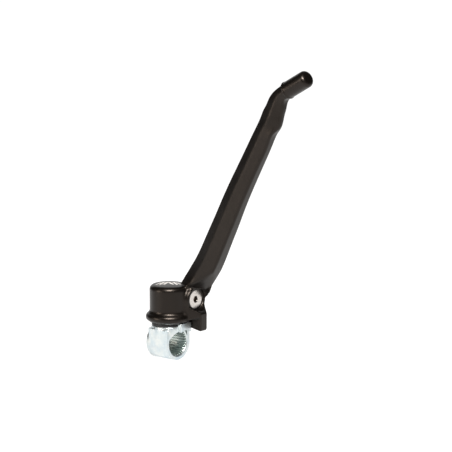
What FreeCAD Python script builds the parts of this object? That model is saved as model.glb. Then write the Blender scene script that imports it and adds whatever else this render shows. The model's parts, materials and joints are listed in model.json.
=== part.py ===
"""Folding kick-start lever for a motocross engine: forged alloy arm on a splined steel knuckle.

Millimetres. The origin is where the splined bore's axis meets the pivot axis.
+Z runs up the pivot post, the splined bore lies along Y, and -Y is outboard, the side
the toe peg points to when the lever is swung out. The arm is drawn swung out.
"outboard" below is the distance from the pivot axis along -Y.
"""
import FreeCAD
import Part
import math
import os

Vector = FreeCAD.Vector

# Splined knuckle
BORE_R = 8.9                 # root radius of the splined bore
TOOTH_HEIGHT = 0.8
TOOTH_COUNT = 30
TOOTH_TIP_SHARE = 0.28       # share of the pitch left at a tooth's tip
TOOTH_ROOT_SHARE = 0.62      # share of the pitch at a tooth's foot
BOSS_R = 11.8
BOSS_FRONT = 7.7             # outboard face of the boss
BOSS_BACK = -10.3            # inboard face of the boss
BORE_CHAMFER = 0.7
SHOULDER_R = 12.1
SHOULDER_BOTTOM = 3.0
SADDLE_TOP = 9.6             # the boss's straight sides stop here, so the lug can pass over
SADDLE_R = 14.2              # the sides' back corners are turned off to this radius
SHOULDER_TOP = 12.0
EDGE_BREAK = 0.6
POST_R = 8.5
POST_TOP = 35.4
POST_LEAD = 1.0              # chamfer that leads the post into the cup
O_RING_Z = 15.4
O_RING_WIRE_R = 1.25
O_RING_GROOVE_R = 6.95
O_RING_GROOVE_WIDTH = 2.9
SWING_DEG = 90.0             # how far the arm folds, from outboard towards +X

# Stop ear on the knuckle's shoulder, which the lug meets when the arm is swung out
EAR_LEFT = -4.6
EAR_OUTBOARD = 14.6
EAR_BOTTOM = 5.0
EAR_TOP = 14.3
STOP_GAP = 0.3

# Detent: a ball and spring in a blind hole across the post
BALL_Z = 23.1
BALL_R = 2.25
BALL_PROUD = 0.9             # how far the seated ball stands out of the post
BALL_HOLE_CLEARANCE = 0.05
BALL_HOLE_INNER = -5.0       # end of the blind hole, past the axis
TRACK_CLEARANCE = 0.15
SPRING_R = 1.8
SPRING_WIRE_R = 0.3
SPRING_TURNS = 6

# Retaining screw: M6 countersunk, hex socket, beside the post and across its groove
SCREW_Z = 29.3
SCREW_HEAD_FACE = 15.5       # outboard face of the head
SCREW_HEAD_R = 6.2
SCREW_HEAD_CONE = 3.2
SCREW_HEAD_RIM = 0.3         # short cylindrical rim of the head
SCREW_R = 3.0
SCREW_TIP = -9.5
SOCKET_R = 2.31              # 4 mm hexagon, across corners / 2
SOCKET_DEPTH = 2.6
SPOTFACE_R = 7.5
SCREW_GROOVE_CLEARANCE = 0.2

# Cup of the arm
CUP_R = 13.3
BEAD_R = 15.6
BEAD_LOW = 15.7
BEAD_HIGH = 19.5
CUP_NECK_Z = 22.8            # where the flare above the bead reaches the cup's wall
CUP_BOTTOM = 13.7
CUP_BOTTOM_R = 13.0
CUP_WALL_TOP = 35.6          # start of the rounded top edge
CUP_CROWN_R = 10.3           # where the rounded edge meets the crown
CUP_CROWN_Z = 39.1
CUP_DOME_TOP = 39.7
FLARE_BOW = (0.13, 0.35)     # middle of the flare's arc: out and up, against the flare's height
CUP_BORE_R = 8.6
CUP_CEILING = 36.4
BUSH_R = 9.6
BUSH_BOTTOM = 17.1
BUSH_TOP = 20.4
RUNNING = 0.05               # radial running clearance of post and bush
THRUST_DISC_R = 7.4
THRUST_DISC_GAP = 0.06
SEAL_GAP = 0.25              # between the seal's top and the cup
SEAL_INSET = 0.2             # the seal's rim stands back from the shoulder's

# Arm: it lies in a plane beside the pivot axis, so its screw can pass the post
ARM_X = 9.0
BOSS_HALF_WIDTH = 9.6
SCREW_BOSS_R = 9.7
SCREW_BOSS_FACE = 16.5
SCREW_BOSS_ROUND = 1.2
BACK_BOSS_R = 6.6
BACK_BOSS_END = -10.6
NOSE_REACH = 22.8
NOSE_START = 2.0
NOSE_SHOULDER = 14.6         # the nose tapers in plan from here to its tip
NOSE_BOTTOM = 15.0
NOSE_TOP = 25.4
NOSE_SLOPE = [(22.8, 18.4), (22.8, 20.6), (19.0, 23.2), (16.2, 25.4)]   # outboard, z round its tip
LUG_HALF_WIDTH = 3.0
LUG_ROOT = 20.0
LUG_INNER = 11.2
LUG_BOTTOM_INNER = 10.4
LUG_BOTTOM_OUTER = 8.3

# Toe peg
PEG_FOOT = (92.7, 177.3)
PEG_R = 5.75
PEG_ANGLE = 60.0             # from the pivot axis towards outboard
PEG_LENGTH = 20.1
PEG_END_ROUND = 3.0
PEG_COLLAR_R = 6.15
PEG_COLLAR_LENGTH = 1.4

# Arm stations from root to toe: outboard, z, lean, depth, width, width of the outer face
ARM_STATIONS = [
    (6.4, 24.0, 0.0, 17.0, 17.6, 16.4),
    (8.2, 30.0, 8.0, 17.6, 18.2, 17.0),
    (13.8, 36.4, 24.0, 18.4, 16.2, 13.8),
    (18.0, 42.7, 33.0, 18.6, 13.2, 10.8),
    (24.4, 52.1, 31.5, 18.5, 11.9, 9.8),
    (35.0, 72.0, 28.5, 17.9, 11.0, 9.0),
    (42.1, 86.2, 27.6, 17.4, 10.4, 8.4),
    (49.4, 101.2, 28.2, 16.8, 10.0, 7.8),
    (57.3, 116.1, 29.0, 16.2, 9.6, 7.3),
    (65.1, 130.3, 29.2, 15.7, 9.2, 7.0),
    (72.6, 144.2, 29.4, 15.1, 9.0, 6.8),
    (76.9, 151.9, 29.4, 14.9, 9.0, 6.6),
    (79.7, 155.8, 29.2, 16.5, 9.2, 4.4),
    (81.3, 159.3, 28.9, 16.4, 9.2, 4.4),
    (82.9, 163.1, 28.6, 15.0, 9.0, 4.4),
    (84.9, 168.1, 32.0, 13.9, 9.0, 5.0),
    (87.8, 173.3, 45.0, 10.8, 9.2, 6.4),
    (91.6, 176.5, 58.0, 9.8, 9.6, 7.4),
    (94.4, 178.1, PEG_ANGLE, 9.0, 9.0, 6.6),
]
ACCESS_LOW = (24.0, 38.0, 13.0)   # outboard, z, x of the clearance's corner line, low and high
ACCESS_HIGH = (31.4, 49.0, 4.1)
ACCESS_RIGHT = 13.6          # the arm's far side stays whole beyond this
ACCESS_SIZE = 60.0
INNER_FACE_SHARE = 0.42      # width of the inner face against the full width
RIDGE_SHARE = -0.06          # ridge's place outboard of the middle, against the depth
INNER_ROUND = 1.6
RIDGE_ROUND = 4.0
OUTER_ROUND = 0.9            # outer corner's radius, and how it grows as the outer face narrows
OUTER_ROUND_GROWTH = 0.28


def point(outboard, z, x=0.0):
    """A point from its outboard distance, height and X."""
    return Vector(x, -outboard, z)


def near(a, b):
    """Whether two lengths are the same, within a tenth of a millimetre."""
    return abs(a - b) < 0.1


def revolve(profile):
    """A solid of revolution about Z from edges that close on themselves."""
    face = Part.Face(Part.Wire(profile))
    return face.revolve(Vector(0, 0, 0), Vector(0, 0, 1), 360)


def ring_solid(inner_r, outer_r, z_low, z_high):
    """A plain ring or disc about the pivot axis."""
    outer = Part.makeCylinder(outer_r, z_high - z_low, Vector(0, 0, z_low))
    if inner_r <= 0:
        return outer
    return outer.cut(Part.makeCylinder(inner_r, z_high - z_low, Vector(0, 0, z_low)))


def along_outboard(radius, start, end, z, x=0.0):
    """A cylinder along -Y between two outboard distances."""
    return Part.makeCylinder(radius, end - start, point(start, z, x), Vector(0, -1, 0))


def cone_outboard(r_start, r_end, start, end, z, x=0.0):
    """A cone along -Y between two outboard distances."""
    return Part.makeCone(r_start, r_end, end - start, point(start, z, x), Vector(0, -1, 0))


def line(a, b):
    return Part.LineSegment(a, b).toShape()


def arc(a, middle, b):
    return Part.Arc(a, middle, b).toShape()


def rounded_polygon(corners, radii):
    """A closed wire through corners, each rounded by an arc of its own radius."""
    edges = []
    starts = []
    ends = []
    count = len(corners)
    for index in range(count):
        here = corners[index]
        to_last = (corners[index - 1] - here).normalize()
        to_next = (corners[(index + 1) % count] - here).normalize()
        half = to_last.getAngle(to_next) / 2
        reach = radii[index] / math.tan(half)
        centre = here + (to_last + to_next).normalize() * (radii[index] / math.sin(half))
        starts.append(here + to_last * reach)
        ends.append(here + to_next * reach)
        middle = centre + (here - centre).normalize() * radii[index]
        edges.append(arc(starts[-1], middle, ends[-1]))
    ring = []
    for index in range(count):
        ring.append(edges[index])
        ring.append(line(ends[index], starts[(index + 1) % count]))
    return Part.Wire(ring)


def arm_section(outboard, z, lean_deg, depth, width, outer_width):
    """One cross-section of the arm: a six-sided shape, square to the arm's own direction."""
    lean = math.radians(lean_deg)
    centre = point(outboard, z, ARM_X)
    outward = point(math.cos(lean), -math.sin(lean))
    sideways = Vector(1, 0, 0)
    half_depth = depth / 2
    half_side = [
        (width / 2 * INNER_FACE_SHARE, -half_depth),
        (width / 2, depth * RIDGE_SHARE),
        (outer_width / 2, half_depth),
    ]
    outline = half_side + [(-x, q) for x, q in reversed(half_side)]
    corners = [centre + sideways * x + outward * q for x, q in outline]
    outer_round = OUTER_ROUND + (width - outer_width) * OUTER_ROUND_GROWTH
    rounds = [INNER_ROUND, RIDGE_ROUND, outer_round]
    return rounded_polygon(corners, rounds + rounds[::-1])


def screw_access():
    """The slanted clearance at the arm's root, which leaves the screw's boss standing free."""
    low, high = point(*ACCESS_LOW), point(*ACCESS_HIGH)
    outward = Vector(1, -1, 0).cross(high - low).normalize()
    block = Part.makeBox(4 * ACCESS_SIZE, 4 * ACCESS_SIZE, 2 * ACCESS_SIZE,
                         Vector(-2 * ACCESS_SIZE, -2 * ACCESS_SIZE, 0))
    block.Placement = FreeCAD.Placement(low, FreeCAD.Rotation(Vector(0, 0, 1), outward))
    limit = Part.makeBox(2 * ACCESS_SIZE, ACCESS_SIZE, ACCESS_SIZE,
                         Vector(ACCESS_RIGHT - 2 * ACCESS_SIZE, -ACCESS_SIZE, 0))
    return block.common(limit)


def arm_beam():
    """The tapered arm from inside the cup to the foot of the toe peg."""
    beam = Part.makeLoft([arm_section(*station) for station in ARM_STATIONS], True, False)
    return beam.cut(screw_access())


def toe_peg():
    """The round peg with its rounded end and the small proud collar at its foot."""
    lean = math.radians(PEG_ANGLE)
    direction = point(math.sin(lean), math.cos(lean))
    foot = point(*PEG_FOOT, ARM_X)
    peg = Part.makeCylinder(PEG_R, PEG_LENGTH, foot, direction)
    tip = foot + direction * PEG_LENGTH
    rim = [edge for edge in peg.Edges if edge.CenterOfMass.distanceToPoint(tip) < EDGE_BREAK]
    peg = peg.makeFillet(PEG_END_ROUND, rim)
    step = PEG_COLLAR_R - PEG_R
    collar_end = foot + direction * (PEG_COLLAR_LENGTH - step)
    collar = Part.makeCylinder(PEG_COLLAR_R, PEG_COLLAR_LENGTH - step, foot, direction)
    collar = collar.fuse(Part.makeCone(PEG_COLLAR_R, PEG_R, step, collar_end, direction))
    return peg.fuse(collar)


def cup_outside():
    """The domed cup with its rounded top edge, flare and bottom bead, still solid."""
    flare = CUP_NECK_Z - BEAD_HIGH
    edge_width = CUP_R - CUP_CROWN_R
    edge_height = CUP_CROWN_Z - CUP_WALL_TOP
    diagonal = math.sqrt(0.5)
    foot = Vector(0, 0, CUP_BOTTOM)
    bottom = Vector(CUP_BOTTOM_R, 0, CUP_BOTTOM)
    bead_low = Vector(BEAD_R, 0, BEAD_LOW)
    bead_high = Vector(BEAD_R - EDGE_BREAK, 0, BEAD_HIGH)
    bead_middle = Vector(BEAD_R + EDGE_BREAK / 2, 0, (BEAD_LOW + BEAD_HIGH) / 2)
    neck = Vector(CUP_R, 0, CUP_NECK_Z)
    flare_middle = Vector(CUP_R + flare * FLARE_BOW[0], 0, BEAD_HIGH + flare * FLARE_BOW[1])
    wall_top = Vector(CUP_R, 0, CUP_WALL_TOP)
    edge_middle = Vector(CUP_CROWN_R + diagonal * edge_width, 0,
                         CUP_WALL_TOP + diagonal * edge_height)
    crown_edge = Vector(CUP_CROWN_R, 0, CUP_CROWN_Z)
    dome_top = Vector(0, 0, CUP_DOME_TOP)
    dome_middle = Vector(CUP_CROWN_R / 2, 0, (CUP_CROWN_Z + 3 * CUP_DOME_TOP) / 4)
    return revolve([
        line(foot, bottom),
        line(bottom, bead_low),
        arc(bead_low, bead_middle, bead_high),
        arc(bead_high, flare_middle, neck),
        line(neck, wall_top),
        arc(wall_top, edge_middle, crown_edge),
        arc(crown_edge, dome_middle, dome_top),
        line(dome_top, foot),
    ])


def extrude_side(outline, half_width):
    """A prism about the arm's plane from an outline of outboard, z pairs."""
    corners = [point(outboard, z, ARM_X - half_width) for outboard, z in outline]
    face = Part.Face(Part.makePolygon(corners + corners[:1]))
    return face.extrude(Vector(2 * half_width, 0, 0))


def screw_boss():
    """The round lobe beside the cup that carries the screw's head."""
    boss = along_outboard(SCREW_BOSS_R, 0, SCREW_BOSS_FACE, SCREW_Z, ARM_X)
    rim = [e for e in boss.Edges if e.Closed and near(-e.CenterOfMass.y, SCREW_BOSS_FACE)]
    return boss.makeFillet(SCREW_BOSS_ROUND, rim)


def back_boss():
    """The round boss behind the cup, where the screw's thread ends."""
    boss = along_outboard(BACK_BOSS_R, BACK_BOSS_END, 0, SCREW_Z, ARM_X)
    rim = [e for e in boss.Edges if e.Closed and near(-e.CenterOfMass.y, BACK_BOSS_END)]
    return boss.makeFillet(EDGE_BREAK * 2, rim)


def nose():
    """The tapered nose under the screw, which spreads the lug's load into the cup."""
    start = [(NOSE_START, NOSE_BOTTOM), (LUG_INNER, NOSE_BOTTOM)]
    side = extrude_side(start + NOSE_SLOPE + [(NOSE_START, NOSE_TOP)], BOSS_HALF_WIDTH)
    half_plan = [(BOSS_HALF_WIDTH, NOSE_START), (BOSS_HALF_WIDTH, NOSE_SHOULDER),
                 (LUG_HALF_WIDTH, NOSE_REACH)]
    outline = half_plan + [(-x, outboard) for x, outboard in reversed(half_plan)]
    corners = [point(outboard, CUP_BOTTOM, ARM_X + x) for x, outboard in outline]
    plan = Part.Face(Part.makePolygon(corners + corners[:1]))
    wedge = side.common(plan.extrude(Vector(0, 0, SCREW_Z - CUP_BOTTOM)))
    front = [e for e in wedge.Edges if near(-e.CenterOfMass.y, NOSE_REACH)
             and near(abs(e.CenterOfMass.x - ARM_X), LUG_HALF_WIDTH)]
    return wedge.makeFillet(EDGE_BREAK, front)


def stop_lug():
    """The flat lug that hangs below the nose."""
    lug = extrude_side([
        (LUG_INNER, LUG_BOTTOM_INNER), (NOSE_REACH, LUG_BOTTOM_OUTER), (NOSE_REACH, LUG_ROOT),
        (LUG_INNER, LUG_ROOT),
    ], LUG_HALF_WIDTH)
    corner = [e for e in lug.Edges if near(e.CenterOfMass.z, LUG_BOTTOM_OUTER)
              and near(-e.CenterOfMass.y, NOSE_REACH)]
    return lug.makeFillet(EDGE_BREAK * 2, corner)


def swept_slot(floor_r, outer_r, half_height, z, tip_r, start_deg, end_deg):
    """A slot about the pivot axis, wide enough for a round tip, between two angles."""
    margin = math.degrees(math.asin(tip_r / outer_r))
    ring = ring_solid(floor_r, outer_r, z - half_height, z + half_height)
    wedge = Part.makeCylinder(outer_r, 2 * half_height, Vector(0, 0, z - half_height),
                              Vector(0, 0, 1), end_deg - start_deg + 2 * margin)
    wedge.rotate(Vector(0, 0, 0), Vector(0, 0, 1), start_deg - margin)
    return ring.common(wedge)


def kick_arm():
    """The forged arm: cup, screw bosses, nose, lug, beam and toe peg in one piece."""
    body = cup_outside()
    for feature in (screw_boss(), back_boss(), nose(), stop_lug(), arm_beam(), toe_peg()):
        body = body.fuse(feature)
    body = body.removeSplitter()
    hollow = ring_solid(0, CUP_BORE_R, CUP_BOTTOM - 1, CUP_CEILING)
    hollow = hollow.fuse(ring_solid(0, BUSH_R, CUP_BOTTOM - 1, BUSH_TOP))
    seat_start = SCREW_HEAD_FACE - SCREW_HEAD_RIM
    head_hole_r = SCREW_HEAD_R + 2 * RUNNING
    spotface = along_outboard(SPOTFACE_R, SCREW_HEAD_FACE, NOSE_REACH + BEAD_R, SCREW_Z, ARM_X)
    head_hole = along_outboard(head_hole_r, seat_start, SCREW_HEAD_FACE, SCREW_Z, ARM_X)
    seat = cone_outboard(SCREW_R, head_hole_r, seat_start - SCREW_HEAD_CONE, seat_start, SCREW_Z,
                         ARM_X)
    shank = along_outboard(SCREW_R, BACK_BOSS_END - 1, seat_start, SCREW_Z, ARM_X)
    track_r = POST_R + BALL_PROUD + TRACK_CLEARANCE
    track = swept_slot(CUP_BORE_R - 1, track_r, BALL_R + RUNNING, BALL_Z, BALL_R,
                       -90 - SWING_DEG, -90)
    for cutter in (hollow, spotface, head_hole, seat, shank, track):
        body = body.cut(cutter)
    return body


def splined_bore():
    """The cutter for the bore: its root circle less the teeth that stand in from it."""
    start, end = BOSS_BACK, BOSS_FRONT
    bore = along_outboard(BORE_R, start, end, 0)
    pitch = 2 * math.pi / TOOTH_COUNT
    tip_r = BORE_R - TOOTH_HEIGHT
    for index in range(TOOTH_COUNT):
        middle = index * pitch
        outline = [
            (BORE_R + EDGE_BREAK, middle - pitch * TOOTH_ROOT_SHARE / 2),
            (tip_r, middle - pitch * TOOTH_TIP_SHARE / 2),
            (tip_r, middle + pitch * TOOTH_TIP_SHARE / 2),
            (BORE_R + EDGE_BREAK, middle + pitch * TOOTH_ROOT_SHARE / 2),
        ]
        corners = [point(start, r * math.sin(a), r * math.cos(a)) for r, a in outline]
        tooth = Part.Face(Part.makePolygon(corners + corners[:1])).extrude(point(end - start, 0))
        bore = bore.cut(tooth)
    return bore


def stop_ear():
    """The ear on the shoulder's outboard side; it stays clear of the cup's tapered rim."""
    right = ARM_X - LUG_HALF_WIDTH - STOP_GAP
    ear = Part.makeBox(right - EAR_LEFT, EAR_OUTBOARD - POST_R, EAR_TOP - EAR_BOTTOM,
                       Vector(EAR_LEFT, -EAR_OUTBOARD, EAR_BOTTOM))
    front = [e for e in ear.Edges if near(-e.CenterOfMass.y, EAR_OUTBOARD)
             and e.CenterOfMass.z < EAR_TOP]
    ear = ear.makeFillet(EDGE_BREAK, front)
    taper = Part.makeCone(CUP_BOTTOM_R + STOP_GAP, BEAD_R + STOP_GAP, BEAD_LOW - CUP_BOTTOM,
                          Vector(0, 0, CUP_BOTTOM - STOP_GAP))
    return ear.cut(taper)


def knuckle():
    """The steel knuckle: splined boss, shoulder, stop ear and pivot post in one piece."""
    boss = along_outboard(BOSS_R, BOSS_BACK, BOSS_FRONT, 0)
    saddle = Part.makeBox(2 * BOSS_R, BOSS_FRONT - BOSS_BACK, SADDLE_TOP,
                          Vector(-BOSS_R, -BOSS_FRONT, 0))
    saddle = saddle.common(ring_solid(0, SADDLE_R, 0, SHOULDER_TOP))
    outer = boss.fuse(saddle).removeSplitter()
    shoulder = ring_solid(0, SHOULDER_R, SHOULDER_BOTTOM, SHOULDER_TOP)
    shoulder = shoulder.makeChamfer(EDGE_BREAK, [e for e in shoulder.Edges if e.Closed])
    behind = Part.makeBox(2 * BEAD_R, BEAD_R, SHOULDER_TOP, Vector(-BEAD_R, -BOSS_BACK, 0))
    shoulder = shoulder.cut(behind)
    post = ring_solid(0, POST_R, SHOULDER_TOP - 1, POST_TOP)
    crown = [e for e in post.Edges if e.Closed and near(e.CenterOfMass.z, POST_TOP)]
    post = post.makeChamfer(POST_LEAD, crown)
    body = outer.fuse(shoulder).fuse(stop_ear()).fuse(post)
    seal_room = ring_solid(POST_R, SHOULDER_R, SHOULDER_TOP, CUP_BOTTOM)
    groove = ring_solid(O_RING_GROOVE_R, POST_R + 1, O_RING_Z - O_RING_GROOVE_WIDTH / 2,
                        O_RING_Z + O_RING_GROOVE_WIDTH / 2)
    ball_hole = along_outboard(BALL_R + BALL_HOLE_CLEARANCE, BALL_HOLE_INNER, POST_R + 1, BALL_Z)
    screw_room = SCREW_R + SCREW_GROOVE_CLEARANCE
    screw_groove = ring_solid(ARM_X - screw_room, POST_R + 1, SCREW_Z - screw_room,
                              SCREW_Z + screw_room)
    front_chamfer = cone_outboard(BORE_R - TOOTH_HEIGHT, BORE_R + BORE_CHAMFER,
                                  BOSS_FRONT - TOOTH_HEIGHT - BORE_CHAMFER, BOSS_FRONT, 0)
    back_chamfer = cone_outboard(BORE_R + BORE_CHAMFER, BORE_R - TOOTH_HEIGHT, BOSS_BACK,
                                 BOSS_BACK + TOOTH_HEIGHT + BORE_CHAMFER, 0)
    front_relief = along_outboard(BORE_R + BORE_CHAMFER, BOSS_FRONT, EAR_OUTBOARD + 1, 0)
    back_relief = along_outboard(BORE_R + BORE_CHAMFER, -SHOULDER_R - 1, BOSS_BACK, 0)
    for cutter in (splined_bore(), seal_room, groove, ball_hole, screw_groove, front_chamfer,
                   back_chamfer, front_relief, back_relief):
        body = body.cut(cutter)
    return body


def retaining_screw():
    """The countersunk socket screw that passes beside the post, through its groove."""
    seat = SCREW_HEAD_FACE - SCREW_HEAD_RIM
    screw = along_outboard(SCREW_HEAD_R, seat, SCREW_HEAD_FACE, SCREW_Z, ARM_X)
    screw = screw.fuse(cone_outboard(SCREW_R, SCREW_HEAD_R, seat - SCREW_HEAD_CONE, seat,
                                     SCREW_Z, ARM_X))
    shank = along_outboard(SCREW_R, SCREW_TIP, seat, SCREW_Z, ARM_X)
    tip = [e for e in shank.Edges if e.Closed and near(-e.CenterOfMass.y, SCREW_TIP)]
    screw = screw.fuse(shank.makeChamfer(EDGE_BREAK, tip))
    hexagon = [point(SCREW_HEAD_FACE, SCREW_Z + SOCKET_R * math.sin(math.radians(60 * k)),
                     ARM_X + SOCKET_R * math.cos(math.radians(60 * k))) for k in range(6)]
    socket = Part.Face(Part.makePolygon(hexagon + hexagon[:1])).extrude(point(-SOCKET_DEPTH, 0))
    across_flats = SOCKET_R * math.cos(math.radians(30))
    floor = SCREW_HEAD_FACE - SOCKET_DEPTH
    drill_point = cone_outboard(RUNNING, across_flats, floor - across_flats / 2, floor, SCREW_Z,
                                ARM_X)
    lead = cone_outboard(across_flats, SOCKET_R + RUNNING, SCREW_HEAD_FACE - EDGE_BREAK / 2,
                         SCREW_HEAD_FACE, SCREW_Z, ARM_X)
    return screw.cut(socket).cut(drill_point).cut(lead).removeSplitter()


def ball_seat():
    """Outboard distance of the ball's centre when it is seated."""
    return POST_R + BALL_PROUD - BALL_R


def detent_ball():
    return Part.makeSphere(BALL_R, point(ball_seat(), BALL_Z))


def detent_spring():
    """The coil spring between the blind hole's floor and the ball."""
    start = BALL_HOLE_INNER + SPRING_WIRE_R + RUNNING
    coil_r = SPRING_R - SPRING_WIRE_R
    touch = BALL_R + SPRING_WIRE_R + RUNNING
    end = ball_seat() - math.sqrt(touch ** 2 - coil_r ** 2)
    helix = Part.makeHelix((end - start) / SPRING_TURNS, end - start, coil_r)
    circle = Part.Wire(Part.makeCircle(SPRING_WIRE_R, Vector(coil_r, 0, 0), Vector(0, 1, 0)))
    spring = Part.Wire(helix.Edges).makePipeShell([circle], True, True)
    spring.rotate(Vector(0, 0, 0), Vector(1, 0, 0), 90)
    spring.translate(point(start, BALL_Z))
    return spring


def pivot_bush():
    """The plain bush pressed into the mouth of the cup."""
    bush = ring_solid(POST_R + RUNNING, BUSH_R, BUSH_BOTTOM, BUSH_TOP)
    return bush.makeChamfer(EDGE_BREAK / 3, [e for e in bush.Edges if e.Closed])


def post_o_ring():
    """The O-ring in the post's groove, just inside the cup's mouth."""
    return Part.makeTorus(O_RING_GROOVE_R + O_RING_WIRE_R, O_RING_WIRE_R, Vector(0, 0, O_RING_Z))


def dust_seal():
    """The flat rubber seal on the knuckle's shoulder, under the cup."""
    seal = ring_solid(POST_R, SHOULDER_R - SEAL_INSET, SHOULDER_TOP, CUP_BOTTOM - SEAL_GAP)
    rim = [e for e in seal.Edges if e.Closed and e.Curve.Radius > POST_R + 1]
    return seal.makeFillet(EDGE_BREAK / 2, rim)


def thrust_disc():
    """The plastic disc in the cup's ceiling that the top of the post bears on."""
    disc = ring_solid(0, THRUST_DISC_R, POST_TOP + THRUST_DISC_GAP, CUP_CEILING)
    return disc.makeChamfer(EDGE_BREAK / 3, [e for e in disc.Edges if e.Closed])


NODES = {
    "kick_arm": kick_arm,
    "knuckle": knuckle,
    "retaining_screw": retaining_screw,
    "detent_ball": detent_ball,
    "detent_spring": detent_spring,
    "pivot_bush": pivot_bush,
    "post_o_ring": post_o_ring,
    "dust_seal": dust_seal,
    "thrust_disc": thrust_disc,
}

os.makedirs("parts", exist_ok=True)
for name, build in NODES.items():
    shape = build()
    print(name, shape.ShapeType, len(shape.Solids), shape.isValid(), round(shape.Volume, 1))
    shape.exportStep(f"parts/{name}.step")
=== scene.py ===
"""Folding kick-start lever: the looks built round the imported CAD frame.

Metres. The frame's origin is where the splined bore's axis meets the pivot axis, +Z runs up the
pivot post and -Y is outboard, the side the toe peg points to.
"""

import json
import math

import bmesh
import bpy
import numpy as np
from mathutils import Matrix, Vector


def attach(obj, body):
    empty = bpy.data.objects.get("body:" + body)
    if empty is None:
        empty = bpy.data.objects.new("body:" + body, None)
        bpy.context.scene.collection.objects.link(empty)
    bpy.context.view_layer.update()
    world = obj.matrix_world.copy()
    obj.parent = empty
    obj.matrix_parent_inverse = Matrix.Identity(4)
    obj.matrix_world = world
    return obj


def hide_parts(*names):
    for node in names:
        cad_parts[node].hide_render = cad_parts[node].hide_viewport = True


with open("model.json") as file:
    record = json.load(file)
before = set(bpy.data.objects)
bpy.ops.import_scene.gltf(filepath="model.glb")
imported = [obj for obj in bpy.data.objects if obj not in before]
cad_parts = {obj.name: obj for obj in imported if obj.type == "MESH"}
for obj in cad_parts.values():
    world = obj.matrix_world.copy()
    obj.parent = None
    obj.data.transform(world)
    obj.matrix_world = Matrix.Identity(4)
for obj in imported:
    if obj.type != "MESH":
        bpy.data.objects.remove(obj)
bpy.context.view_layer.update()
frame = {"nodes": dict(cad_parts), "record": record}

MM = 0.001

# Table, sweep and room, and the two panels that light them; the table's uneven glow is painted
# light
ROOM_LIGHT = 0.05
ROOM_TINT = (1.0, 0.97, 0.94)
TABLE_TONE = 0.22
# painted light: the table glows brightest round the lever, like a pool of light
TABLE_PAINTED_LIGHT = 0.97
TABLE_FADE = 0.3             # share of the glow left far to the sides and in front
TABLE_HALF = 12.0
TABLE_Z = -12.4 * MM         # just under the knuckle
FADE_SIDE = (0.4, 0.75)      # where the glow starts to fade and where it has faded
FADE_FRONT = (0.27, 0.6)
SWEEP_GLOW = 1.0
SWEEP_AWAY, SWEEP_HALF, SWEEP_HEIGHT = 5.0, 3.0, 4.5
LIT_POINT = (0, -40 * MM, 80 * MM)
FRONT_PANEL_UP, FRONT_PANEL_BACK = 0.56, 0.72
LEFT_PANEL = (-0.93, 0.46, 0.14)

# Camera: its aim and its place
CAMERA_AZIMUTH = -50.6
CAMERA_ELEVATION = 10.8
CAMERA_DISTANCE = 2000 * MM
CAMERA_LENS = 237.0
AIM_RIGHT = 37.97 * MM       # aim point, right of and above the origin as the camera sees it
AIM_UP = 77.28 * MM

# The knuckle and its screw
BORE_R = 8.95 * MM
BORE_MOUTH = 9.3 * MM
SCREW_X, SCREW_Z = 9.0 * MM, 29.3 * MM
SOCKET_R = 2.3 * MM
SOCKET_MOUTH = -15.45 * MM   # shade is painted into the socket from here inwards
SPOTFACE = 7.5 * MM
SPOTFACE_BACK = -16.0 * MM

# The forging's skin
VOXEL = 0.4 * MM
POST_BORE = 9.9 * MM         # everything inside this radius of the pivot stays as machined
CUP_CEILING = 36.8 * MM
SKIN_ROUNDS = 4
BLEND_ROUNDS = 60
WALL_BLEND_R, WALL_BLEND_REACH = 14.2 * MM, 3.2 * MM   # the band where things grow out of the cup
WALL_BLEND_LOW, WALL_BLEND_LOW_FADE = 18 * MM, 3 * MM
WALL_BLEND_HIGH, WALL_BLEND_HIGH_FADE = 52 * MM, 8 * MM
ROOT_BLEND = (8.0 * MM, -27.0 * MM, 43.0 * MM)   # where the arm's root is cut away for the screw
ROOT_BLEND_R = 12.0 * MM

# The printed wing on the cup's crown, in millimetres: middle and width of each bar
BARS = [(-7.2, 1.3), (-4.9, 1.5), (-2.2, 1.9), (1.0, 1.9), (3.9, 1.5), (6.1, 1.3)]
BAR_REACH, OUTER_BAR_REACH, OUTER_BAR = 3.6, 2.4, 5.0
BAR_LEAN = 1.5
BAR_CELLS = 10
CROWN_R, CROWN_Z, DOME_TOP = 10.3 * MM, 39.1 * MM, 39.7 * MM
MARK_TURN = math.radians(CAMERA_AZIMUTH)
INK = 0.04 * MM


# ---------------------------------------------------------------- shader helpers

NOISE_ROUGHNESS = 0.55


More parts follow.
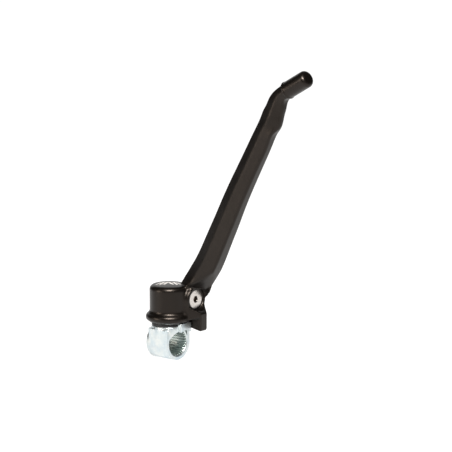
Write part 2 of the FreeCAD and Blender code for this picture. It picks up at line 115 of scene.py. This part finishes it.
class Shader:
    """A material's node tree with short ways to add and join nodes."""

    def __init__(self, name):
        self.material = bpy.data.materials.new(name)
        self.material.use_nodes = True
        self.tree = self.material.node_tree
        self.tree.nodes.clear()
        self.out = self.add("ShaderNodeOutputMaterial")
        self.surface = self.add("ShaderNodeBsdfPrincipled")
        self.tree.links.new(self.surface.outputs[0], self.out.inputs[0])
        self.place = self.add("ShaderNodeTexCoord").outputs["Object"]

    def add(self, kind, **settings):
        node = self.tree.nodes.new(kind)
        for key, value in settings.items():
            setattr(node, key, value)
        return node

    def put(self, socket, value):
        """Joins a socket to another, or gives it a constant."""
        if isinstance(value, bpy.types.NodeSocket):
            self.tree.links.new(value, socket)
        else:
            socket.default_value = value

    def set(self, **values):
        """Sets the surface's own inputs, by short names."""
        names = {
            "color": "Base Color", "rough": "Roughness", "metal": "Metallic", "normal": "Normal",
            "specular": "Specular IOR Level", "tint": "Specular Tint",
            "subsurface": "Subsurface Weight",
        }
        for key, value in values.items():
            self.put(self.surface.inputs[names[key]], value)
        return self

    def noise(self, scale, detail=4.0, stretch=None):
        """Noise at so many lumps to the metre, stretched along an axis if asked."""
        node = self.add("ShaderNodeTexNoise")
        node.inputs["Scale"].default_value = scale
        node.inputs["Detail"].default_value = detail
        node.inputs["Roughness"].default_value = NOISE_ROUGHNESS
        self.put(node.inputs["Vector"], self.stretched(stretch) if stretch else self.place)
        return node.outputs["Fac"]

    def cells(self, scale):
        """Soft round cells, 0 in their middles."""
        node = self.add("ShaderNodeTexVoronoi", feature="SMOOTH_F1")
        node.inputs["Scale"].default_value = scale
        self.put(node.inputs["Vector"], self.place)
        return node.outputs["Distance"]

    def stretched(self, factors):
        """The place, scaled along each axis."""
        node = self.add("ShaderNodeMapping")
        self.put(node.inputs["Vector"], self.place)
        node.inputs["Scale"].default_value = factors
        return node.outputs["Vector"]

    def math(self, operation, a, b=0.0, c=0.0):
        node = self.add("ShaderNodeMath", operation=operation)
        for socket, value in zip(node.inputs, (a, b, c)):
            self.put(socket, value)
        return node.outputs[0]

    def ramp(self, value, low, high, to_low=0.0, to_high=1.0):
        """Takes a value from one range to another, held at both ends."""
        node = self.add("ShaderNodeMapRange", clamp=True)
        for name, number in (("From Min", low), ("From Max", high), ("To Min", to_low),
                             ("To Max", to_high)):
            node.inputs[name].default_value = number
        self.put(node.inputs["Value"], value)
        return node.outputs["Result"]

    def mix(self, share, a, b):
        """A colour between two colours."""
        node = self.add("ShaderNodeMix", data_type="RGBA")
        self.put(node.inputs["Factor"], share)
        self.put(node.inputs["A"], a)
        self.put(node.inputs["B"], b)
        return node.outputs["Result"]

    def axis(self, letter):
        node = self.add("ShaderNodeSeparateXYZ")
        self.put(node.inputs[0], self.place)
        return node.outputs[letter]

    def distance(self, a, b):
        """Length of the flat vector with sides a and b."""
        squares = self.math("ADD", self.math("MULTIPLY", a, a), self.math("MULTIPLY", b, b))
        return self.math("SQRT", squares)

    def edges(self, radius, low=0.02, high=0.25):
        """1 on corners that stand out or in, 0 on open faces."""
        bevel = self.add("ShaderNodeBevel", samples=6)
        bevel.inputs["Radius"].default_value = radius
        flat = self.add("ShaderNodeNewGeometry")
        dot = self.add("ShaderNodeVectorMath", operation="DOT_PRODUCT")
        self.put(dot.inputs[0], bevel.outputs[0])
        self.put(dot.inputs[1], flat.outputs["Normal"])
        return self.ramp(self.math("SUBTRACT", 1.0, dot.outputs["Value"]), low, high)

    def round_edges(self, radius):
        """A normal that turns smoothly across corners of that radius."""
        bevel = self.add("ShaderNodeBevel", samples=8)
        bevel.inputs["Radius"].default_value = radius
        return bevel.outputs[0]

    def bump(self, height, depth, normal=None):
        node = self.add("ShaderNodeBump")
        node.inputs["Strength"].default_value = 1.0
        node.inputs["Distance"].default_value = depth
        self.put(node.inputs["Height"], height)
        if normal is not None:
            self.put(node.inputs["Normal"], normal)
        return node.outputs[0]


def rgb(red, green, blue):
    return (red, green, blue, 1.0)


# ---------------------------------------------------------------- materials

def anodised_black():
    """Satin black hard anodising over a shot-blasted forging, worn a little along its corners."""
    s = Shader("satin_black_anodise")
    grain = s.noise(5200, detail=2)
    cloud = s.noise(90, detail=3)
    rub = s.noise(700, detail=5, stretch=(1.0, 1.0, 0.35))
    wear = s.math("MULTIPLY", s.edges(0.35 * MM, 0.03, 0.35), s.ramp(rub, 0.45, 0.7))
    tone = s.mix(s.ramp(cloud, 0.35, 0.7), rgb(0.0011, 0.0008, 0.0006),
                 rgb(0.0020, 0.0015, 0.0012))
    speck = s.ramp(s.noise(2600, detail=1), 0.68, 0.78)
    tone = s.mix(s.math("MULTIPLY", speck, 0.35), tone, rgb(0.006, 0.005, 0.004))
    tone = s.mix(s.math("MULTIPLY", wear, 0.4), tone, rgb(0.03, 0.026, 0.023))
    rough = s.ramp(cloud, 0.3, 0.75, 0.3, 0.38)
    rough = s.math("ADD", rough, s.ramp(grain, 0.3, 0.7, -0.03, 0.03))
    rough = s.math("SUBTRACT", rough, s.math("MULTIPLY", wear, 0.06))
    skin = s.bump(grain, 0.003 * MM)
    forged = s.bump(s.noise(260, detail=2), 0.014 * MM, skin)
    return s.set(color=tone, rough=rough, metal=0.0, specular=0.32,
                 tint=rgb(0.94, 0.81, 0.72), normal=forged).material


def zinc():
    """Blue-white zinc plate over machined and blasted steel, with painted highlights on its corners
    and painted shade in its bore.
    """
    s = Shader("blue_white_zinc")
    cloud = s.noise(160, detail=4)
    grain = s.noise(3400, detail=3)
    turned = s.noise(700, detail=3, stretch=(0.06, 0.06, 6.0))
    film = s.ramp(s.noise(210, detail=3), 0.35, 0.7)
    tone = s.mix(film, rgb(0.50, 0.575, 0.61), rgb(0.64, 0.67, 0.66))
    tone = s.mix(s.ramp(s.noise(420, detail=4), 0.6, 0.75, 0.0, 0.35), tone, rgb(0.62, 0.72, 0.78))
    # painted highlight: the plate's corners are mixed towards near white where light would catch
    # them
    painted_rim_highlight = s.edges(0.3 * MM)
    tone = s.mix(s.math("MULTIPLY", painted_rim_highlight, 0.4), tone, rgb(0.90, 0.92, 0.93))
    # painted shade: the inside of the bore is given a darker tone than the plate outside
    inside = s.ramp(s.distance(s.axis("X"), s.axis("Z")), BORE_MOUTH, BORE_R)
    tone = s.mix(inside, tone, s.mix(film, rgb(0.44, 0.52, 0.51), rgb(0.60, 0.65, 0.62)))
    rough = s.ramp(cloud, 0.3, 0.7, 0.28, 0.42)
    rough = s.math("ADD", rough, s.ramp(grain, 0.3, 0.7, -0.03, 0.04))
    skin = s.bump(turned, 0.006 * MM, s.round_edges(0.25 * MM))
    skin = s.bump(grain, 0.008 * MM, skin)
    skin = s.bump(s.noise(330, detail=3), 0.05 * MM, skin)
    return s.set(color=tone, rough=rough, metal=1.0, normal=skin).material


def stainless():
    """Plain stainless with the fine rings of a turned head, and shade painted dark brown into its
    socket.
    """
    s = Shader("turned_stainless")
    radius = s.distance(s.math("SUBTRACT", s.axis("X"), SCREW_X),
                        s.math("SUBTRACT", s.axis("Z"), SCREW_Z))
    rings = s.math("SINE", s.math("MULTIPLY", radius, 42000.0))
    smear = s.noise(900, detail=4)
    tone = s.mix(s.ramp(smear, 0.35, 0.7), rgb(0.66, 0.62, 0.585), rgb(0.57, 0.53, 0.50))
    rough = s.ramp(smear, 0.3, 0.7, 0.24, 0.36)
    # painted shade: the hex socket's inside is coloured dark brown
    painted_socket_shade = s.math("MULTIPLY", s.ramp(radius, SOCKET_R + 0.1 * MM, SOCKET_R - 0.1 * MM),
                  s.ramp(s.axis("Y"), SOCKET_MOUTH, SOCKET_MOUTH + 0.35 * MM))
    tone = s.mix(painted_socket_shade, tone, rgb(0.16, 0.125, 0.10))
    skin = s.bump(rings, 0.0016 * MM, s.round_edges(0.12 * MM))
    skin = s.bump(s.noise(2200, detail=3), 0.006 * MM, skin)
    return s.set(color=tone, rough=rough, metal=1.0, normal=skin).material


def polished_steel():
    """A hard, ground ball."""
    s = Shader("polished_ball_steel")
    haze = s.noise(800, detail=5)
    tone = s.mix(s.ramp(haze, 0.4, 0.7), rgb(0.78, 0.79, 0.81), rgb(0.70, 0.71, 0.73))
    return s.set(color=tone, rough=s.ramp(haze, 0.3, 0.7, 0.08, 0.16), metal=1.0,
                 normal=s.bump(haze, 0.002 * MM)).material


def spring_steel():
    """Drawn wire under a film of oil."""
    s = Shader("oiled_spring_steel")
    draw = s.noise(2400, detail=3, stretch=(1.0, 0.2, 1.0))
    tone = s.mix(s.ramp(draw, 0.35, 0.7), rgb(0.34, 0.34, 0.35), rgb(0.46, 0.45, 0.44))
    return s.set(color=tone, rough=s.ramp(draw, 0.3, 0.7, 0.22, 0.36), metal=1.0,
                 normal=s.bump(draw, 0.006 * MM)).material


def bronze():
    """Porous sintered bronze."""
    s = Shader("sintered_bronze")
    pores = s.cells(3600)
    tone = s.mix(s.ramp(pores, 0.05, 0.4), rgb(0.30, 0.19, 0.09), rgb(0.60, 0.41, 0.21))
    return s.set(color=tone, rough=s.ramp(s.noise(700), 0.3, 0.7, 0.34, 0.5), metal=1.0,
                 normal=s.bump(pores, 0.02 * MM)).material


def rubber():
    """Matt black nitrile rubber with a dusty bloom."""
    s = Shader("nitrile_rubber")
    bloom = s.noise(420, detail=5)
    tone = s.mix(s.ramp(bloom, 0.45, 0.75), rgb(0.016, 0.016, 0.017), rgb(0.034, 0.033, 0.033))
    skin = s.bump(s.noise(4200, detail=3), 0.02 * MM)
    return s.set(color=tone, rough=s.ramp(bloom, 0.3, 0.7, 0.6, 0.78), normal=skin).material


def acetal():
    """Natural acetal with faint turning marks."""
    s = Shader("natural_acetal")
    cut = s.noise(1500, detail=3, stretch=(1.0, 1.0, 0.2))
    tone = s.mix(s.ramp(cut, 0.35, 0.7), rgb(0.76, 0.74, 0.69), rgb(0.84, 0.82, 0.77))
    return s.set(color=tone, rough=s.ramp(cut, 0.3, 0.7, 0.36, 0.48), subsurface=0.05,
                 normal=s.bump(cut, 0.01 * MM)).material


def pad_print():
    """Thin pale ink, rubbed through in places."""
    s = Shader("pale_pad_print")
    worn = s.noise(1500, detail=4)
    tone = s.mix(s.ramp(worn, 0.5, 0.7), rgb(0.66, 0.64, 0.62), rgb(0.34, 0.33, 0.32))
    return s.set(color=tone, rough=s.ramp(worn, 0.3, 0.7, 0.4, 0.55),
                 normal=s.bump(worn, 0.01 * MM)).material


def dress(node, material):
    """Gives a CAD node one material; its mesh stays as packed."""
    mesh = frame["nodes"][node].data
    mesh.materials.clear()
    mesh.materials.append(material)


# ---------------------------------------------------------------- the forging

def skin_of(node):
    """A closed, even mesh over a CAD node's surface."""
    source = frame["nodes"][node]
    copy = bpy.data.objects.new("skin", source.data.copy())
    bpy.context.scene.collection.objects.link(copy)
    copy.modifiers.new("weld", "WELD").merge_threshold = 0.001 * MM
    remesh = copy.modifiers.new("remesh", "REMESH")
    remesh.mode = "VOXEL"
    remesh.voxel_size = VOXEL
    shown = copy.evaluated_get(bpy.context.evaluated_depsgraph_get())
    made = bpy.data.meshes.new_from_object(shown)
    bpy.data.objects.remove(copy)
    return made


def neighbours_mean(edges, places, count):
    """Mean place of each vertex's neighbours."""
    total = np.zeros_like(places)
    for a, b in ((0, 1), (1, 0)):
        for axis in range(3):
            total[:, axis] += np.bincount(edges[:, a], places[edges[:, b], axis], len(places))
    return total / count[:, None]


def relax(mesh, rounds, share):
    """Smooths a mesh in place; share says how much of each step a vertex takes, 0 to 1."""
    places = np.empty(len(mesh.vertices) * 3)
    mesh.vertices.foreach_get("co", places)
    places = places.reshape(-1, 3)
    edges = np.empty(len(mesh.edges) * 2, dtype=np.int64)
    mesh.edges.foreach_get("vertices", edges)
    edges = edges.reshape(-1, 2)
    count = np.bincount(edges.ravel(), minlength=len(places)).astype(float)
    weight = share(places)[:, None] * 0.5
    for _ in range(rounds):
        places += weight * (neighbours_mean(edges, places, count) - places)
    mesh.vertices.foreach_set("co", places.ravel())
    mesh.update()


def outside(places):
    """1 on the forging's forged skin, 0 on its machined holes."""
    x, y, z = places.T
    radius = np.hypot(x, y)
    in_cup = (radius < POST_BORE) & (z < CUP_CEILING)
    from_screw = np.hypot(x - SCREW_X, z - SCREW_Z)
    in_spotface = (from_screw < SPOTFACE - 0.3 * MM) & (y > SPOTFACE_BACK)
    return np.where(in_cup | in_spotface, 0.0, 1.0)


def blends(places):
    """1 where the arm, the boss, the nose and the cup flow into each other, fading out around."""
    def rising(value, start, fade):
        return np.clip((value - start) / fade, 0, 1)

    x, y, z = places.T
    near_wall = np.clip(1 - np.abs(np.hypot(x, y) - WALL_BLEND_R) / WALL_BLEND_REACH, 0, 1)
    near_wall *= np.hypot(x - SCREW_X, z - SCREW_Z) > SPOTFACE + 0.8 * MM
    height = rising(z, WALL_BLEND_LOW, WALL_BLEND_LOW_FADE)
    height *= rising(-z, -WALL_BLEND_HIGH, WALL_BLEND_HIGH_FADE)
    side = rising(x, -4 * MM, 3 * MM) * rising(-y, -10 * MM, 4 * MM)
    from_root = np.linalg.norm(places - np.array(ROOT_BLEND), axis=1)
    root = np.clip(1.6 * (1 - from_root / ROOT_BLEND_R), 0, 1)
    return outside(places) * np.maximum(near_wall * height * side, root)


def forging():
    """The arm's forged skin, with soft roots in place of the CAD's sharp ones."""
    mesh = skin_of("kick_arm")
    relax(mesh, BLEND_ROUNDS, blends)
    relax(mesh, SKIN_ROUNDS, outside)
    for face in mesh.polygons:
        face.use_smooth = True
    mesh.materials.clear()
    mesh.materials.append(MATERIALS["arm_black"])
    arm = bpy.data.objects.new("forged_arm", mesh)
    bpy.context.scene.collection.objects.link(arm)
    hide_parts("kick_arm")
    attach(arm, "arm")


# ---------------------------------------------------------------- the printed mark

def on_crown(u, v):
    """A point of the print, u across and v up as the mark is read, just above the dome."""
    x = u * math.cos(MARK_TURN) - v * math.sin(MARK_TURN)
    y = u * math.sin(MARK_TURN) + v * math.cos(MARK_TURN)
    return x, y, DOME_TOP - (DOME_TOP - CROWN_Z) * (x * x + y * y) / CROWN_R ** 2 + INK


def printed_mark():
    """A plain wing of slanted bars, printed on the cup's crown to face the camera's side."""
    shape = bmesh.new()
    for middle, width in BARS:
        reach = BAR_REACH if abs(middle) < OUTER_BAR else OUTER_BAR_REACH
        lean = math.copysign(BAR_LEAN, -middle)
        grid = []
        for row in range(BAR_CELLS + 1):
            along = -reach + 2 * reach * row / BAR_CELLS
            across = [middle + lean * along / reach + side * width for side in (-0.5, 0.5)]
            grid.append([shape.verts.new(on_crown(u * MM, along * MM)) for u in across])
        for below, above in zip(grid, grid[1:]):
            shape.faces.new((below[0], below[1], above[1], above[0]))
    mesh = bpy.data.meshes.new("printed_mark")
    shape.to_mesh(mesh)
    shape.free()
    mesh.materials.append(MATERIALS["print"])
    mark = bpy.data.objects.new("printed_mark", mesh)
    bpy.context.scene.collection.objects.link(mark)
    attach(mark, "arm")


# ---------------------------------------------------------------- edges of the machined pieces

def soften(node, radius, angle_deg=28):
    """Rounds a CAD node's corners as it is shown; its own mesh isn't changed."""
    piece = frame["nodes"][node]
    piece.modifiers.new("weld", "WELD").merge_threshold = 0.001 * MM
    bevel = piece.modifiers.new("bevel", "BEVEL")
    bevel.width = radius
    bevel.segments = 2
    bevel.limit_method = "ANGLE"
    bevel.angle_limit = math.radians(angle_deg)
    bevel.use_clamp_overlap = True
    bevel.harden_normals = True


# ---------------------------------------------------------------- stage, light and camera

def axes_of_view():
    """Towards the camera, and the picture's right and up."""
    azimuth, elevation = math.radians(CAMERA_AZIMUTH), math.radians(CAMERA_ELEVATION)
    level = math.cos(elevation)
    back = Vector((math.sin(azimuth) * level, -math.cos(azimuth) * level, math.sin(elevation)))
    right = Vector((math.cos(azimuth), math.sin(azimuth), 0))
    return back, right, back.cross(right)


def look(obj, target):
    obj.rotation_euler = (target - obj.location).to_track_quat("-Z", "Y").to_euler()


def camera():
    """A long lens from outboard and the left, looking down a little on the whole lever."""
    back, right, up = axes_of_view()
    data = bpy.data.cameras.new("camera")
    data.lens = CAMERA_LENS
    data.sensor_width = 36
    data.clip_end = 100
    eye = bpy.data.objects.new("camera", data)
    target = right * AIM_RIGHT + up * AIM_UP
    eye.location = target + back * CAMERA_DISTANCE
    look(eye, target)
    bpy.context.scene.collection.objects.link(eye)
    bpy.context.scene.camera = eye
    bpy.context.scene.view_settings.view_transform = "Standard"


def softbox(name, place, target, width, height, power, tint):
    """A rectangular panel of light that faces its target."""
    data = bpy.data.lights.new(name, "AREA")
    data.shape = "RECTANGLE"
    data.size, data.size_y = width, height
    data.energy = power
    data.color = tint
    light = bpy.data.objects.new(name, data)
    light.location = place
    look(light, target)
    bpy.context.scene.collection.objects.link(light)


def sheet_of(name, corners, glow):
    """A flat stage piece that is pale and glows, like a lit paper sweep."""
    mesh = bpy.data.meshes.new(name)
    mesh.from_pydata(corners, [], [tuple(range(len(corners)))])
    s = Shader(name)
    mottle = s.noise(3, detail=3)
    tone, darker = (rgb(*[share * TABLE_TONE] * 3) for share in (1.0, 0.98))
    s.set(color=s.mix(mottle, darker, tone), rough=s.ramp(mottle, 0.3, 0.7, 0.85, 0.95),
          specular=0.1)
    s.surface.inputs["Emission Color"].default_value = rgb(1, 1, 1)
    s.put(s.surface.inputs["Emission Strength"], glow(s))
    mesh.materials.append(s.material)
    plane = bpy.data.objects.new(name, mesh)
    bpy.context.scene.collection.objects.link(plane)


def painted_table_light(s):
    """Painted light on the table: full round the lever and behind it, fading to the sides and
    towards the front.
    """
    back, right, _ = axes_of_view()
    x, y = s.axis("X"), s.axis("Y")

    def along(direction):
        return s.math("ADD", s.math("MULTIPLY", x, direction.x), s.math("MULTIPLY", y, direction.y))

    side = s.math("ABSOLUTE", s.math("SUBTRACT", along(right), AIM_RIGHT))
    sides = s.ramp(side, *FADE_SIDE, 1.0, TABLE_FADE)
    front = s.ramp(along(back), *FADE_FRONT, 1.0, TABLE_FADE)
    return s.math("MULTIPLY", s.math("MINIMUM", sides, front), TABLE_PAINTED_LIGHT)


def studio():
    """A table glowing with painted light, and a sweep, in a dim room, with a panel high in front
    and one at the left.
    """
    world = bpy.data.worlds.new("studio")
    bpy.context.scene.world = world
    world.use_nodes = True
    background = world.node_tree.nodes["Background"]
    background.inputs["Color"].default_value = rgb(*ROOM_TINT)
    background.inputs["Strength"].default_value = ROOM_LIGHT
    back, right, _ = axes_of_view()
    square = ((-1, -1), (1, -1), (1, 1), (-1, 1))
    floor = [(x * TABLE_HALF, y * TABLE_HALF, TABLE_Z) for x, y in square]
    sheet_of("floor", floor, painted_table_light)
    away = Vector((-back.x, -back.y, 0)).normalized() * SWEEP_AWAY
    sweep = [away + right * side * SWEEP_HALF + Vector((0, 0, max(0, up) * SWEEP_HEIGHT))
             for side, up in square]
    sheet_of("sweep", [tuple(corner) for corner in sweep], lambda s: SWEEP_GLOW)
    centre = Vector(LIT_POINT)
    softbox("high_front", centre + Vector((0, 0, FRONT_PANEL_UP)) + back * FRONT_PANEL_BACK,
            centre, 0.42, 0.2, 24.0, (1.0, 0.97, 0.93))
    softbox("left", centre + Vector(LEFT_PANEL), centre, 0.34, 0.36, 3.6, (1.0, 0.90, 0.80))


# ---------------------------------------------------------------- putting it together

MATERIALS = {
    "arm_black": anodised_black(),
    "zinc_plate": zinc(),
    "stainless": stainless(),
    "bearing_steel": polished_steel(),
    "spring_steel": spring_steel(),
    "bush_bronze": bronze(),
    "black_rubber": rubber(),
    "bearing_plastic": acetal(),
    "print": pad_print(),
}
for part in frame["record"]["subparts"]:
    dress(part["node"], MATERIALS[part["material_slot"]])

forging()
printed_mark()
soften("knuckle", 0.25 * MM)
soften("retaining_screw", 0.12 * MM)

studio()
camera()
